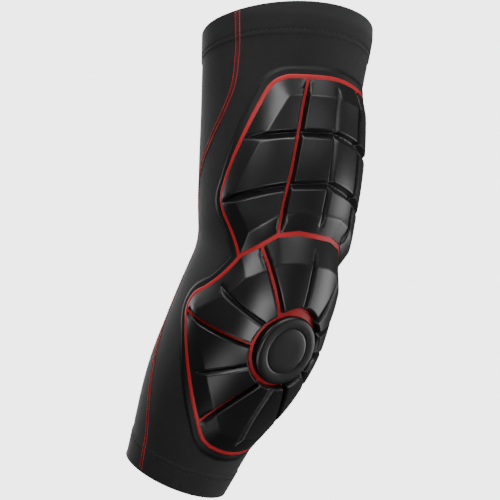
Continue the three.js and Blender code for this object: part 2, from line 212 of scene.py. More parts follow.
section_shares = curve_through(SECTIONS)
seam_turn = curve_through(SEAM)


def arm_share(along):
    return np.where(along < 0, along / UPPER_ARM, along / FOREARM)


def centreline(along):
    bend = math.radians(ELBOW_FLEXION)
    half_arc = ELBOW_BEND_RADIUS * bend / 2
    tangent = ELBOW_BEND_RADIUS * math.tan(bend / 2)
    turned = np.clip((along + half_arc) / ELBOW_BEND_RADIUS, 0, bend)
    zero = np.zeros_like(turned)
    point = np.stack([
        zero,
        ELBOW_BEND_RADIUS * (1 - np.cos(turned)),
        tangent - ELBOW_BEND_RADIUS * np.sin(turned),
    ], -1)
    down = np.stack([zero, np.sin(turned), -np.cos(turned)], -1)
    outwards = np.stack([zero, -np.cos(turned), -np.sin(turned)], -1)
    beyond = np.minimum(along + half_arc, 0) + np.maximum(along - half_arc, 0)
    return point + beyond[..., None] * down, outwards


def depths(along, turn):
    shares = section_shares(arm_share(along))
    back = shares[..., 1] * SLEEVE_BACK_DEPTH
    front = shares[..., 2] * SLEEVE_FRONT_DEPTH
    return shares[..., 0] * SLEEVE_HALF_WIDTH, np.where(np.cos(turn) > 0, back, front)


def wrap(along, across, height):
    """From the flat (down the arm, round the arm, outwards) to the row frame, in millimetres."""
    along, across, height = np.broadcast_arrays(
        np.asarray(along, float), np.asarray(across, float), np.asarray(height, float))
    turn = across / WRAP_RADIUS
    half_width, depth = depths(along, turn)
    sx, sy = np.sin(turn) / half_width, np.cos(turn) / depth
    size = np.hypot(sx, sy)
    from_cap = np.hypot(along - CAP_BELOW, across) / ELBOW_FLAT_REACH
    lifted = height - ELBOW_FLAT * np.exp(-from_cap**2)
    point, outwards = centreline(along)
    point = point + (depth * np.cos(turn) + lifted * sy / size)[..., None] * outwards
    point[..., 0] += half_width * np.sin(turn) + lifted * sx / size
    return point


# Mesh helpers

def make_object(name, points, faces, material, smooth_angle=SMOOTH_ANGLE):
    mesh = bpy.data.meshes.new(name)
    mesh.from_pydata((np.asarray(points) * MM).tolist(), [], faces)
    mesh.validate()
    mesh.shade_smooth()
    mesh.set_sharp_from_angle(angle=math.radians(smooth_angle))
    mesh.materials.append(material)
    piece = bpy.data.objects.new(name, mesh)
    bpy.context.scene.collection.objects.link(piece)
    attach(piece, "root")
    return piece


def smooth_min(a, b, reach):
    mixed = np.maximum(reach - np.abs(a - b), 0) / reach
    return np.minimum(a, b) - mixed * mixed * reach / 4


def smooth_step(x):
    x = np.clip(x, 0, 1)
    return x * x * (3 - 2 * x)


def unit(v):
    return v / np.linalg.norm(v)


def outward(start, end):
    step = unit(end - start)
    return np.array([step[1], -step[0]])


def mirror(points):
    return np.asarray(points) * [1, -1]


def resampled(points, step, closed=False):
    """The same path with a point at least every step, and with its corners kept."""
    points = np.asarray(points, float)
    ends = np.roll(points, -1, 0) if closed else points[1:]
    out = []
    for a, b in zip(points, ends):
        n = max(1, math.ceil(np.linalg.norm(b - a) / step))
        out.extend(a + (b - a) * k / n for k in range(n))
    if not closed:
        out.append(points[-1])
    return np.array(out)


def inside(points, polygon):
    x, y = points[:, 0:1], points[:, 1:2]
    ax, ay = polygon[:, 0], polygon[:, 1]
    bx, by = np.roll(ax, -1), np.roll(ay, -1)
    span = (ay > y) != (by > y)
    with np.errstate(divide="ignore", invalid="ignore"):
        hit = x < (bx - ax) * (y - ay) / (by - ay) + ax
    return (span & hit).sum(1) % 2 == 1


def distance_to(points, path, closed=False):
    """Distance from each point to a path, on the flat."""
    starts = path if closed else path[:-1]
    ends = np.roll(path, -1, 0) if closed else path[1:]
    best = np.full(len(points), 1e9)
    for a, b in zip(starts, ends):
        ab = b - a
        t = np.clip(((points - a) @ ab) / (ab @ ab), 0, 1)
        best = np.minimum(best, np.linalg.norm(points - a - t[:, None] * ab, axis=1))
    return best


# Outline of the pad

OUTLINE_LEFT = [
    # along, across, corner radius
    (PAD_TOP, 0.0, 60.0),
    (PAD_TOP + 3.5, -34.5, 17.0),
    (-25.0, -UPPER_HALF_WIDTH, 16.0),
    (WAIST[0], WAIST[1], 0.0),
    (38.0, -77.0, 16.0),
    (PAD_BOTTOM - 4.0, -22.5, 20.0),
    (PAD_BOTTOM, 0.0, 60.0),
]


def outline(margin):
    """The pad's outline moved outwards by a margin: one list of points for each corner."""
    right = [(s, -w, r) for s, w, r in OUTLINE_LEFT[1:-1]][::-1]
    corners = OUTLINE_LEFT + right
    places = [np.array(c[:2]) for c in corners]
    lists = []
    for i, (_, _, radius) in enumerate(corners):
        here, last, following = places[i], places[i - 1], places[(i + 1) % len(places)]
        before, after = unit(here - last), unit(following - here)
        side_before, side_after = outward(last, here), outward(here, following)
        cross = before[0] * after[1] - before[1] * after[0]
        apart = (side_after - side_before) * margin
        moved = here + side_before * margin + before * (apart[0] * after[1] - apart[1] * after[0]) / cross
        turn = math.asin(cross)
        r = max(radius + margin * math.copysign(1, turn), 0)
        start = moved - before * r * math.tan(abs(turn) / 2)
        centre = start - side_before * math.copysign(r, turn)
        count = max(1, round(abs(math.degrees(turn)) / ARC_STEP)) if r > 0 else 0
        spoke = start - centre
        arc = []
        for k in range(count + 1):
            a = turn * k / count if count else 0
            arc.append(centre + [spoke[0] * math.cos(a) - spoke[1] * math.sin(a),
                                 spoke[0] * math.sin(a) + spoke[1] * math.cos(a)])
        lists.append(np.array(arc))
    return lists


def closed_outline(margin):
    path = np.vstack(outline(margin))
    return np.vstack([path, path[:1]])


RIM = outline(-RED_LINE)
RIM_PATH = np.vstack(RIM)
BEND = np.array([-BOUNDARY_BEND, -COLUMN_FOOT])
ARCH = np.array([-BOUNDARY_ARCH, -COLUMN_FOOT / 2])
MIDDLE = np.array([-BOUNDARY_ARCH, 0.0])
COLUMN = np.array([PAD_TOP, -COLUMN_TOP])


def fan_point(angle, reach):
    a = math.radians(angle)
    return np.array([CAP_BELOW - reach * math.cos(a), -reach * math.sin(a)])


def fan_line(line):
    return fan_point(line[0], RING_RADIUS), fan_point(line[1], FAN_REACH)


# Flat plates that are wrapped round the arm

def clipped(polygon, start, end):
    """The part of a polygon to the left of a line."""
    side = -outward(start, end)
    depth = (polygon - start) @ side
    out = []
    for i in range(len(polygon)):
        j = (i + 1) % len(polygon)
        if depth[i] >= 0:
            out.append(polygon[i])
        if (depth[i] >= 0) != (depth[j] >= 0):
            out.append(polygon[i] + (polygon[j] - polygon[i]) * depth[i] / (depth[i] - depth[j]))
    return np.array(out)


def without_ring(polygon):
    """Cuts the ring round the cap out of a polygon that reaches into it."""
    path = resampled(polygon, RING_STEP, closed=True)
    centre = np.array([CAP_BELOW, 0.0])
    far = np.linalg.norm(path - centre, axis=1) >= RING_RADIUS
    first = [i for i in range(len(path)) if far[i] and not far[i - 1]][0]
    order = [(first + k) % len(path) for k in range(len(path))]
    kept = [path[i] for i in order if far[i]]
    start, end = kept[0] - centre, kept[-1] - centre
    a0, a1 = math.atan2(end[1], end[0]), math.atan2(start[1], start[0])
    turn = (a1 - a0 + math.pi) % (2 * math.pi) - math.pi
    count = max(2, math.ceil(abs(turn) * RING_RADIUS))
    turns = [a0 + turn * k / count for k in range(count + 1)]
    return np.vstack([kept, [centre + RING_RADIUS * np.array([math.cos(a), math.sin(a)]) for a in turns]])


def lattice_inside(border, spacing):
    low, high = border.min(0), border.max(0)
    rows = np.arange(low[0], high[0], spacing * 0.87)
    points = np.array([(x, y + (spacing / 2 if i % 2 else 0))
                       for i, x in enumerate(rows) for y in np.arange(low[1], high[1], spacing)])
    points = points[inside(points, border)]
    return points[distance_to(points, border, closed=True) > 0.3 * spacing]


def apart_from(points, fixed, gap):
    tree = kdtree.KDTree(len(fixed))
    for i, p in enumerate(fixed):
        tree.insert((p[0], p[1], 0), i)
    tree.balance()
    return points[[tree.find((p[0], p[1], 0))[2] > gap for p in points]].reshape(-1, 2)


def slivers_on(border, corners, doubled_area):
    """Which triangles lie flat along the border, where they would only spoil its shading."""
    longest = np.linalg.norm(corners - np.roll(corners, 1, 1), axis=2).max(1)
    thin = doubled_area < SLIVER * longest**2
    near = distance_to(corners[thin].reshape(-1, 2), border, closed=True) < 0.01
    thin[thin] = near.reshape(-1, 3).all(1)
    return thin | (doubled_area < 1e-10)


def triangulated(border, guides, spacing, busy=None):
    """Triangles inside a border that follow the guide lines, with a lattice between them that is
    finer where the surface is busy."""
    border = resampled(border, GUIDE_STEP, closed=True)
    keep = [True]
    for i in range(1, len(border)):
        keep.append(np.linalg.norm(border[i] - border[i - 1]) > CLOSEST)
    border = border[np.array(keep)]
    points = [border]
    edges = [(i, (i + 1) % len(border)) for i in range(len(border))]
    total = len(border)
    for guide in guides:
        path = resampled(guide, GUIDE_STEP)
        good = inside(path, border)
        good[good] = distance_to(path[good], border, closed=True) > GUIDE_CLEARANCE
        index = np.cumsum(good) - 1 + total
        edges.extend((index[i], index[i + 1]) for i in range(len(path) - 1) if good[i] and good[i + 1])
        points.append(path[good])
        total += int(good.sum())
    fixed = np.vstack(points)
    if busy is not None:
        fine = lattice_inside(border, FINE_LATTICE)
        fixed = np.vstack([fixed, apart_from(fine[busy(fine)], fixed, 0.5 * FINE_LATTICE)])
    coarse = apart_from(lattice_inside(border, spacing), fixed, 0.6 * spacing)
    every = [Vector(p) for p in np.vstack([fixed, coarse])]
    edges = [tuple(map(int, e)) for e in edges]
    vertices, _, faces, *_ = geometry.delaunay_2d_cdt(every, edges, [], 0, 1e-4)
    vertices = np.array([tuple(v) for v in vertices])
    faces = np.array(faces)
    centres = vertices[faces].mean(1)
    faces = faces[inside(centres, border)]
    a, b, c = (vertices[faces[:, k]] for k in range(3))
    ab, ac = b - a, c - a
    area = ab[:, 0] * ac[:, 1] - ab[:, 1] * ac[:, 0]
    faces[area < 0] = faces[area < 0][:, ::-1]
    faces = faces[~slivers_on(border, vertices[faces], np.abs(area))]
    used, faces = np.unique(faces, return_inverse=True)
    return vertices[used], faces.reshape(-1, 3)


def plate(name, border, guides, top, bottom, material, spacing=LATTICE, side=1, busy=None):
    """A closed plate: its top follows a height function, its underside is level and its sides are upright."""
    flat, faces = triangulated(border, guides, spacing, busy)
    upper = wrap(flat[:, 0], side * flat[:, 1], top(flat))
    lower = wrap(flat[:, 0], side * flat[:, 1], bottom)
    count = len(flat)
    edges = {(int(f[i]), int(f[(i + 1) % 3])) for f in faces for i in range(3)}
    rim = [(a, b) for a, b in edges if (b, a) not in edges]
    every = [tuple(map(int, f)) for f in faces]
    every += [tuple(int(i) + count for i in f[::-1]) for f in faces]
    every += [(b, a, a + count, b + count) for a, b in rim]
    if side < 0:
        every = [f[::-1] for f in every]
    piece = make_object(name, np.vstack([upper, lower]), every, material, smooth_angle=180)
    creases = {frozenset(e) for e in rim} | {frozenset((a + count, b + count)) for a, b in rim}
    for edge in piece.data.edges:
        if frozenset(edge.vertices) in creases:
            edge.use_edge_sharp = True
    return piece


# Blocks of the pad

def beside(start, end, width, bevel):
    shift = -outward(start, end) * width / 2
    return start + shift, end + shift, bevel


def rim_edges(path):
    return [(a, b, WIDE_BEVEL) for a, b in zip(path[:-1], path[1:])]


def bevel_plane(edge):
    start, end, bevel = edge
    side = -outward(start, end)
    return lambda p: BLOCK_EDGE + (BLOCK_TOP - BLOCK_EDGE) / bevel * ((p - start) @ side)


def rim_bevel(p):
    return BLOCK_EDGE + (BLOCK_TOP - BLOCK_EDGE) / WIDE_BEVEL * distance_to(p, RIM_PATH, closed=True)


def ring_bevel(p):
    reach = np.linalg.norm(p - [CAP_BELOW, 0], axis=1) - RING_RADIUS
    return BLOCK_EDGE + (BLOCK_TOP - BLOCK_EDGE) / STEEP_BEVEL * reach


def groove_profile(groove):
    start, end, floor, left, right = groove
    depth = BLOCK_TOP - BLOCK_BOTTOM - floor

    def at(p):
        side = (p - start) @ outward(start, end)
        wall = np.where(side < 0, -side / left, side / right) * depth
        return BLOCK_BOTTOM + floor + np.sqrt(wall**2 + GROOVE_ROUNDING**2) - GROOVE_ROUNDING

    return at


def joined_max(functions):
    return lambda p: np.max([f(p) for f in functions], 0)


def features(edges, grooves, hollow, rim, ring):
    """The surfaces that cut a block's level top, each with the reach of its rounded crease."""
    rise = BLOCK_TOP - BLOCK_EDGE
    parts = [(bevel_plane(e), ROUNDING * rise / e[2]) for e in edges]
    depth = BLOCK_TOP - BLOCK_BOTTOM
    parts += [(groove_profile(g), ROUNDING * (depth - g[2]) / max(g[3:])) for g in grooves]
    if hollow:
        parts.append((joined_max([bevel_plane(e) for e in hollow]), ROUNDING * rise / hollow[0][2]))
    if rim:
        parts.append((rim_bevel, ROUNDING * rise / WIDE_BEVEL))
    if ring:
        parts.append((ring_bevel, ROUNDING * rise / STEEP_BEVEL))
    return parts


def folded(points, symmetric):
    """The points of a symmetric block, brought over to its left half."""
    return np.where(symmetric & (points[:, 1:] > 0), mirror(points), points)


def block_height(parts, symmetric):
    def at(points):
        p = folded(points, symmetric)
        height = np.full(len(p), BLOCK_TOP)
        for surface, reach in parts:
            height = smooth_min(height, surface(p), reach)
        return np.maximum(height, BLOCK_BOTTOM + THINNEST_BLOCK)

    return at


def busy_near(parts, symmetric):
    """Where two of a block's surfaces meet, or one of them is steep."""
    rise = BLOCK_TOP - BLOCK_EDGE

    def at(points):
        p = folded(points, symmetric)
        heights = np.array([surface(p) for surface, _ in parts] + [np.full(len(p), BLOCK_TOP)])
        lowest = heights.argmin(0)
        heights.sort(0)
        steepness = np.array([reach / ROUNDING for _, reach in parts] + [0.0])
        near = heights[1] - heights[0] < 1.1 * np.maximum(steepness[lowest], rise / WIDE_BEVEL)
        return near | (steepness[lowest] > 2 * rise / WIDE_BEVEL)

    return at


def parallel(start, end, offset):
    """A long line on the inner side of an edge, at the given distance from it."""
    side = -outward(start, end)
    step = unit(end - start) * GUIDE_REACH
    return np.array([start - step + side * offset, end + step + side * offset])


def block_guides(edges, grooves, hollow, rim, ring, height):
    """Lines for the mesh to follow, kept only where their own crease or groove is at the surface."""
    lines = []
    for start, end, bevel in [*edges, *hollow]:
        spread = min(0.3 * bevel, CREASE_SPREAD)
        for d in (-spread, 0, spread, spread + CREASE_SIDE):
            lines.append((parallel(start, end, bevel + d), bevel_plane((start, end, bevel))))
    for groove in grooves:
        start, end, _, left, right = groove
        for d in (0, -0.25, 0.25, left, left + 0.4, left + 0.9, -right, -right - 0.5, -right - 1):
            lines.append((parallel(start, end, d), groove_profile(groove)))
    if ring:
        turns = np.radians(np.arange(0, 361, 3))
        circle = np.stack([np.cos(turns), np.sin(turns)], -1)
        lines += [(circle * (RING_RADIUS + STEEP_BEVEL + d) + [CAP_BELOW, 0], ring_bevel)
                  for d in (-0.3, 0, 0.45, 0.95)]
    if rim:
        far = CREASE_SPREAD + CREASE_SIDE
        for d in (-far, -CREASE_SPREAD, 0, CREASE_SPREAD, far):
            lines.append((closed_outline(d - RED_LINE - WIDE_BEVEL), rim_bevel))
    guides = []
    for line, surface in lines:
        path = resampled(line, GUIDE_STEP)
        kept = height(path) > np.minimum(surface(path), BLOCK_TOP) - GUIDE_DEPTH
        breaks = np.flatnonzero(np.diff(kept.astype(int))) + 1
        runs = np.split(np.arange(len(path)), breaks)
        guides += [path[run] for run in runs if kept[run[0]] and len(run) > 1]
    return guides


def cut_out(border, edges, rim, ring):
    for edge in [*rim_edges(rim), *edges]:
        border = clipped(border, edge[0], edge[1])
    return without_ring(border) if ring else border


FIELD = np.array([[-300.0, -300.0], [300.0, -300.0], [300.0, 300.0], [-300.0, 300.0]])
LEFT_FIELD = np.array([[-300.0, -300.0], [300.0, -300.0], [300.0, 0.0], [-300.0, 0.0]])


def side_block(name, rim, edges, grooves, ring, material):
    """A block on one side of the pad, and its mirror image on the other."""
    border = cut_out(FIELD, edges, rim, ring)
    parts = features(edges, grooves, [], True, ring)
    height = block_height(parts, False)
    guides = block_guides(edges, grooves, [], True, ring, height)
    for side, label in ((1, name + "_left"), (-1, name + "_right")):
        finish_block(plate(label + "_foam", border, guides, height, BLOCK_BOTTOM, material,
                           side=side, busy=busy_near(parts, False)), label)


def middle_block(name, rim, edges, grooves, hollow, ring, material):
    """A block across the middle of the pad, worked out for its left half and mirrored."""
    half = cut_out(LEFT_FIELD, [*edges, *hollow[:1]], rim, ring)
    if hollow:
        half = with_hollow(half, hollow)
    on_middle = half[:, 1] > -1e-6
    first = [i for i in range(len(half)) if on_middle[i - 1] and on_middle[i]][0]
    half = np.roll(half, -first, 0)
    border = np.vstack([half, mirror(half[1:-1])[::-1]])
    parts = features(edges, grooves, hollow, len(rim) > 0, ring)
    height = block_height(parts, True)
    every = block_guides(edges, grooves, hollow, len(rim) > 0, ring, height)
    left = [g for g in every if g[:, 1].max() < -0.1]
    guides = left + [mirror(g) for g in left]
    low, high = half[:, 0].min(), half[:, 0].max()
    guides.append(np.array([[low - 1, 0.0], [high + 1, 0.0]]))
    finish_block(plate(name + "_foam", border, guides, height, BLOCK_BOTTOM, material,
                       busy=busy_near(parts, True)), name)


def with_hollow(half, hollow):
    """Follows the hollow foot of the upper block: its edges meet at the point between them."""
    top_end = PAD_TOP / 2
    (a0, a1, _), (b0, b1, _) = hollow
    step_a, step_b = a1 - a0, b1 - b0
    apart = b0 - a0
    t = (apart[0] * step_b[1] - apart[1] * step_b[0]) / (step_a[0] * step_b[1] - step_a[1] * step_b[0])
    meet = a0 + step_a * t
    foot = np.array([b0[0] + (b1 - b0)[0] * (0 - b0[1]) / (b1 - b0)[1], 0.0])
    out = []
    for i, p in enumerate(half):
        q = half[(i + 1) % len(half)]
        out.append(p)
        if abs(p[1]) < 1e-6 and abs(q[1]) > 1e-6 and p[0] > top_end:
            out[-1] = foot
            out.append(meet)
        elif abs(q[1]) < 1e-6 and abs(p[1]) > 1e-6 and q[0] > top_end:
            out += [meet, foot]
    kept = [p for p in out if not (abs(p[1]) < 1e-6 and p[0] > top_end and np.linalg.norm(p - foot) > 1e-9)]
    return np.array(kept)


def finish_block(piece, node):
    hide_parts(node)


def row_grooves(from_side):
    lines = []
    for middle, column, side in ROW_GROOVES:
        outer = np.array([-side, -UPPER_HALF_WIDTH])
        joint = np.array([-column, -COLUMN_TOP])
        centre = np.array([-middle, 0.0])
        start, end = (outer, joint) if from_side else (joint, centre)
        lines.append((start, end, ROW_FLOOR, STEEP_WALL, ROW_SLOPED_WALL))
    return lines


def shallow(start, end):
    return start, end, SHALLOW_FLOOR, SHALLOW_WALL, SHALLOW_WALL


def inwards_beside(line):
    inner, outer = fan_line(line)
    return beside(outer, inner, INNER_LINE, STEEP_BEVEL)


def outwards_beside(line):
    inner, outer = fan_line(line)
    return beside(inner, outer, INNER_LINE, STEEP_BEVEL)


def build_blocks(material):
    waist_on = np.vstack([RIM[3][-1:], RIM[4], RIM[5]])
    to_waist = beside(BEND, WAIST, BOUNDARY_LINE, WIDE_BEVEL)
    lower_inner, lower_outer = fan_line(LOWER_SIDE)
    centre = np.array([CAP_BELOW, 0.0])
    side_block("upper_pad", np.vstack([RIM[0], RIM[1], RIM[2], RIM[3][:1]]), [
        beside(WAIST, BEND, BOUNDARY_LINE, BOUNDARY_BEVEL),
        beside(BEND, COLUMN, INNER_LINE, STEEP_BEVEL),
    ], row_grooves(True), False, material)
    side_block("elbow_pad_upper", waist_on, [
        to_waist,
        inwards_beside(SIDE_RED),
        outwards_beside(UPPER_RED),
    ], [shallow(*fan_line(UPPER_SHALLOW))], True, material)
    side_block("elbow_pad_lower", waist_on, [
        inwards_beside(LOWER_RED),
        outwards_beside(SIDE_RED),
    ], [(lower_outer, lower_inner, FAN_FLOOR, STEEP_WALL, FAN_SLOPED_WALL)], True, material)
    middle_block("upper_pad_middle", np.vstack([RIM[11], RIM[0], RIM[1]]), [
        beside(COLUMN, BEND, INNER_LINE, STEEP_BEVEL),
    ], row_grooves(False) + [shallow(MIDDLE, np.array([PAD_TOP, 0.0]))], [
        beside(BEND, ARCH, BOUNDARY_LINE, BOUNDARY_BEVEL),
        beside(ARCH, MIDDLE, BOUNDARY_LINE, BOUNDARY_BEVEL),
    ], False, material)
    middle_block("elbow_pad_top", np.zeros((0, 2)), [
        beside(MIDDLE, ARCH, BOUNDARY_LINE, WIDE_BEVEL),
        beside(ARCH, BEND, BOUNDARY_LINE, WIDE_BEVEL),
        to_waist,
        inwards_beside(UPPER_RED),
    ], [shallow(centre, MIDDLE)], [], True, material)
    middle_block("elbow_pad_bottom", np.vstack([RIM[5], RIM[6], RIM[7]]), [
        outwards_beside(LOWER_RED),
    ], [shallow(centre, np.array([PAD_BOTTOM, 0.0]))], [], True, material)


# Films under the blocks

def build_films(flange_material, web_material):
    edge = np.vstack(outline(FLANGE_MARGIN))

    def flange_top(points):
        reach = distance_to(points, edge, closed=True)
        rise = FLANGE_TOP - FLANGE_BOTTOM - FLANGE_EDGE
        level = FLANGE_BOTTOM + FLANGE_EDGE + rise * smooth_step(reach / FLANGE_RISE)
        from_bead = (reach - FLANGE_BEAD_INSET) / FLANGE_BEAD_WIDTH
        return level + FLANGE_BEAD_HEIGHT * np.exp(-(from_bead**2))

    rings = [closed_outline(FLANGE_MARGIN - inset) for inset in FLANGE_RING_INSETS]
    piece = plate("pad_flange_film", edge, rings, flange_top, FLANGE_BOTTOM, flange_material,
                  spacing=FILM_LATTICE)
    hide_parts("pad_flange")
    line = np.vstack(outline(0))

    def web_top(points):
        reach = distance_to(points, line, closed=True)
        return WEB_TOP - WEB_EDGE_DROP * (1 - smooth_step(reach / WEB_EDGE_WIDTH))

    rings = [closed_outline(-inset) for inset in WEB_RING_INSETS]
    piece = plate("pad_web_film", line, rings, web_top, WEB_BOTTOM, web_material,
                  spacing=WEB_LATTICE)
    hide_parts("pad_web")


# Cap

def cap_axes():
    seat = BLOCK_BOTTOM
    centre = wrap(CAP_BELOW, 0, seat + CAP_MIDDLE)
    up = unit(wrap(CAP_BELOW - 1, 0, seat) - wrap(CAP_BELOW + 1, 0, seat))
    side = np.array([1.0, 0.0, 0.0])
    return centre, side, up, np.cross(side, up)


def build_cap(material):
    centre, side, up, out = cap_axes()
    turns = np.radians(np.arange(0, 360, CAP_TURN_STEP))
    face_radius = CAP_RADIUS - CAP_CHAMFER
    profile = [(3.0, 0.0), (8.0, 0.0), *CAP_GROOVE, (17.5, 0.0),
               (face_radius - 0.35, 0.0), (face_radius, -0.12), (face_radius + 0.3, -0.36),
               (CAP_RADIUS - 0.35, -CAP_CHAMFER + 0.25), (CAP_RADIUS - 0.08, -CAP_CHAMFER),
               (CAP_RADIUS, -CAP_CHAMFER - 0.4)]
    rings = [centre + r * np.cos(turns)[:, None] * side + r * np.sin(turns)[:, None] * up + h * out
             for r, h in profile]
    rings.append(seated_ring(CAP_RADIUS, turns, centre, side, up))
    rings.append(seated_ring(CAP_RADIUS - CAP_SEAT_STEP, turns, centre, side, up))
    n = len(turns)
    points = np.vstack([centre[None], *rings, wrap(CAP_BELOW, 0, BLOCK_BOTTOM)[None]])
    faces = [(0, 1 + k, 1 + (k + 1) % n) for k in range(n)]
    for j in range(len(rings) - 1):
        a, b = 1 + j * n, 1 + (j + 1) * n
        faces += [(a + k, b + k, b + (k + 1) % n, a + (k + 1) % n) for k in range(n)]
    last, end = 1 + (len(rings) - 1) * n, len(points) - 1
    faces += [(last + k, end, last + (k + 1) % n) for k in range(n)]
    piece = make_object("elbow_cap_foam", points, faces, material)
    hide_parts("elbow_cap")


def seated_ring(radius, turns, centre, side, up):
    """Points on the layer below, straight under a circle of the cap."""
    along = CAP_BELOW - radius * np.sin(turns)
    across = radius * np.cos(turns)
    for _ in range(8):
        offset = wrap(along, across, BLOCK_BOTTOM) - centre
        along = along + (offset @ up) - radius * np.sin(turns)
        across = across - (offset @ side) + radius * np.cos(turns)
    return wrap(along, across, BLOCK_BOTTOM)


# Cloth

def rim_shift(along, across, rim, tilt):
    turn = across / WRAP_RADIUS
    _, depth = depths(along, turn)
    return depth * np.cos(turn) * math.tan(math.radians(tilt)) * np.clip(along / rim, 0, 1) ** 3


def sleeve_point(row, across, height):
    shift = np.where(row < 0, rim_shift(row, across, -UPPER_ARM, UPPER_RIM_TILT),
                     rim_shift(row, across, FOREARM, LOWER_RIM_TILT))
    return wrap(row + shift, across, height)


def hem_height(row):
    """How far the outside of the cloth stands out: the folded hems and the dip along their stitching."""
    inset = np.minimum(row + UPPER_ARM, FOREARM - row)
    fold = HEM_EXTRA * smooth_step((HEM_LENGTH + 0.4 - inset) / 0.9)
    dip = HEM_STITCH_DIP * np.exp(-((inset - HEM_STITCH_INSET) / 0.7) ** 2)
    return fold - dip


def sleeve_rows():
    hem = np.concatenate([[0, 0.25, 0.7], np.arange(HEM_STEP, HEM_LENGTH - 4.0, HEM_STEP),
                          np.arange(HEM_LENGTH - 4.0, HEM_LENGTH + 1.3, HEM_STITCH_STEP)])
    body = np.arange(-UPPER_ARM + HEM_LENGTH + 2, FOREARM - HEM_LENGTH - 1.5, ROW_STEP)
    return np.concatenate([hem - UPPER_ARM, body, (FOREARM - hem)[::-1]])


def build_panel(name, node, edges, columns, material):
    rows = sleeve_rows()
    low, high = edges(rows)
    share = np.linspace(0, 1, columns)
    across = WRAP_RADIUS * (low[:, None] + (high - low)[:, None] * share)
    grid = np.repeat(rows[:, None], columns, 1)
    outside = sleeve_point(grid, across, hem_height(grid))
    inner = sleeve_point(grid, across, np.full(grid.shape, -CLOTH_WALL))
    middle = (HEM_EXTRA - CLOTH_WALL) / 2
    top = sleeve_point(grid[0] - HEM_ROUND, across[0], np.full(columns, middle))
    bottom = sleeve_point(grid[-1] + HEM_ROUND, across[-1], np.full(columns, middle))
    n = len(rows)
    loop = np.concatenate([outside, bottom[None], inner[::-1], top[None]])
    points = loop.reshape(-1, 3)
    size = len(loop)
    faces = []
    for i in range(size):
        j = (i + 1) % size
        faces += [(i * columns + c, j * columns + c, j * columns + c + 1, i * columns + c + 1)
                  for c in range(columns - 1)]
    inner_row = [2 * n - i for i in range(n)]
    for c, flip in ((0, True), (columns - 1, False)):
        pairs = [(i * columns + c, inner_row[i] * columns + c) for i in range(n)]
        strip = [(a, b, inner_b, inner_a) for (a, inner_a), (b, inner_b) in zip(pairs, pairs[1:])]
        strip.append(((n - 1) * columns + c, n * columns + c, inner_row[n - 1] * columns + c))
        strip.append((c, inner_row[0] * columns + c, (size - 1) * columns + c))
        faces += [f[::-1] if flip else f for f in strip]
    piece = make_object(name, points, faces, material, smooth_angle=60)
    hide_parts(node)
    return piece


def seam_edge(rows):
    return np.radians(seam_turn(arm_share(rows))[..., 0])


def build_sleeve(material):
    half_gap = SEAM_GAP / 2 / WRAP_RADIUS

    def back_edges(rows):
        edge = seam_edge(rows) - half_gap
        return -edge, edge

    def front_edges(rows):
        edge = seam_edge(rows) + half_gap
        return edge, 2 * math.pi - edge

    build_panel("sleeve_back_knit", "sleeve_back_panel", back_edges, BACK_COLUMNS, material)
    build_panel("sleeve_front_knit", "sleeve_front_panel", front_edges, FRONT_COLUMNS, material)


# Stitches

def stitch_tubes(name, path_points, normals, material, pitch, length, radius, lift, sink):
    """A row of separate stitches along a path, each a short thread that rises out of the cloth."""
    steps = np.linalg.norm(np.diff(path_points, axis=0), axis=1)
    reach = np.concatenate([[0], np.cumsum(steps)])
    starts = np.arange(0.3, reach[-1] - pitch, pitch)
    rise = np.array([sink, 0.7 * lift, lift, 0.7 * lift, sink])
    width = np.array([0.35, 0.95, 1.0, 0.95, 0.35]) * radius
    sides = 6
    turns = np.arange(sides) * 2 * math.pi / sides
    points, faces = [], []
    for start in starts:
        at = start + np.linspace(0, length, 5)
        place = np.stack([np.interp(at, reach, path_points[:, k]) for k in range(3)], -1)
        out = np.stack([np.interp(at, reach, normals[:, k]) for k in range(3)], -1)
        tangent = unit(place[-1] - place[0])
        across = unit(np.cross(tangent, out[2]))
        base = len(points)
        for k in range(5):
            middle = place[k] + out[k] * rise[k]
            for turn in turns:
                points.append(middle + width[k] * (math.cos(turn) * across + math.sin(turn) * out[k]))
        for k in range(4):
            a, b = base + k * sides, base + (k + 1) * sides
            faces += [(a + i, a + (i + 1) % sides, b + (i + 1) % sides, b + i) for i in range(sides)]
        faces.append(tuple(base + i for i in range(sides))[::-1])
        faces.append(tuple(base + 4 * sides + i for i in range(sides)))
    return make_object(name, np.array(points), faces, material, smooth_angle=80)


def surface_path(rows, across):
    height = hem_height(rows)
    base = sleeve_point(rows, across, height)
    return base, sleeve_point(rows, across, height + 1) - base


def build_seams(thread, cover, cord):
    rows = np.arange(-UPPER_ARM + 0.6, FOREARM - 0.6, 0.8)
    for label, side in (("left", -1), ("right", 1)):
        middle = side * WRAP_RADIUS * seam_edge(rows)
        slope = np.gradient(middle, rows)
        spread = np.sqrt(1 + slope**2)
        for row_name, offset in (("inner", -SEAM_STITCH_OFFSET), ("outer", SEAM_STITCH_OFFSET)):
            shifted = rows - side * offset * slope / spread
            path, normals = surface_path(shifted, middle + side * offset / spread)
            stitch_tubes(f"seam_{label}_{row_name}_stitches", path, normals, thread,
                         pitch=1.7, length=1.85, radius=0.27, lift=0.32, sink=0.05)
        band(f"seam_{label}_band", rows, middle, slope / spread, spread, cover)


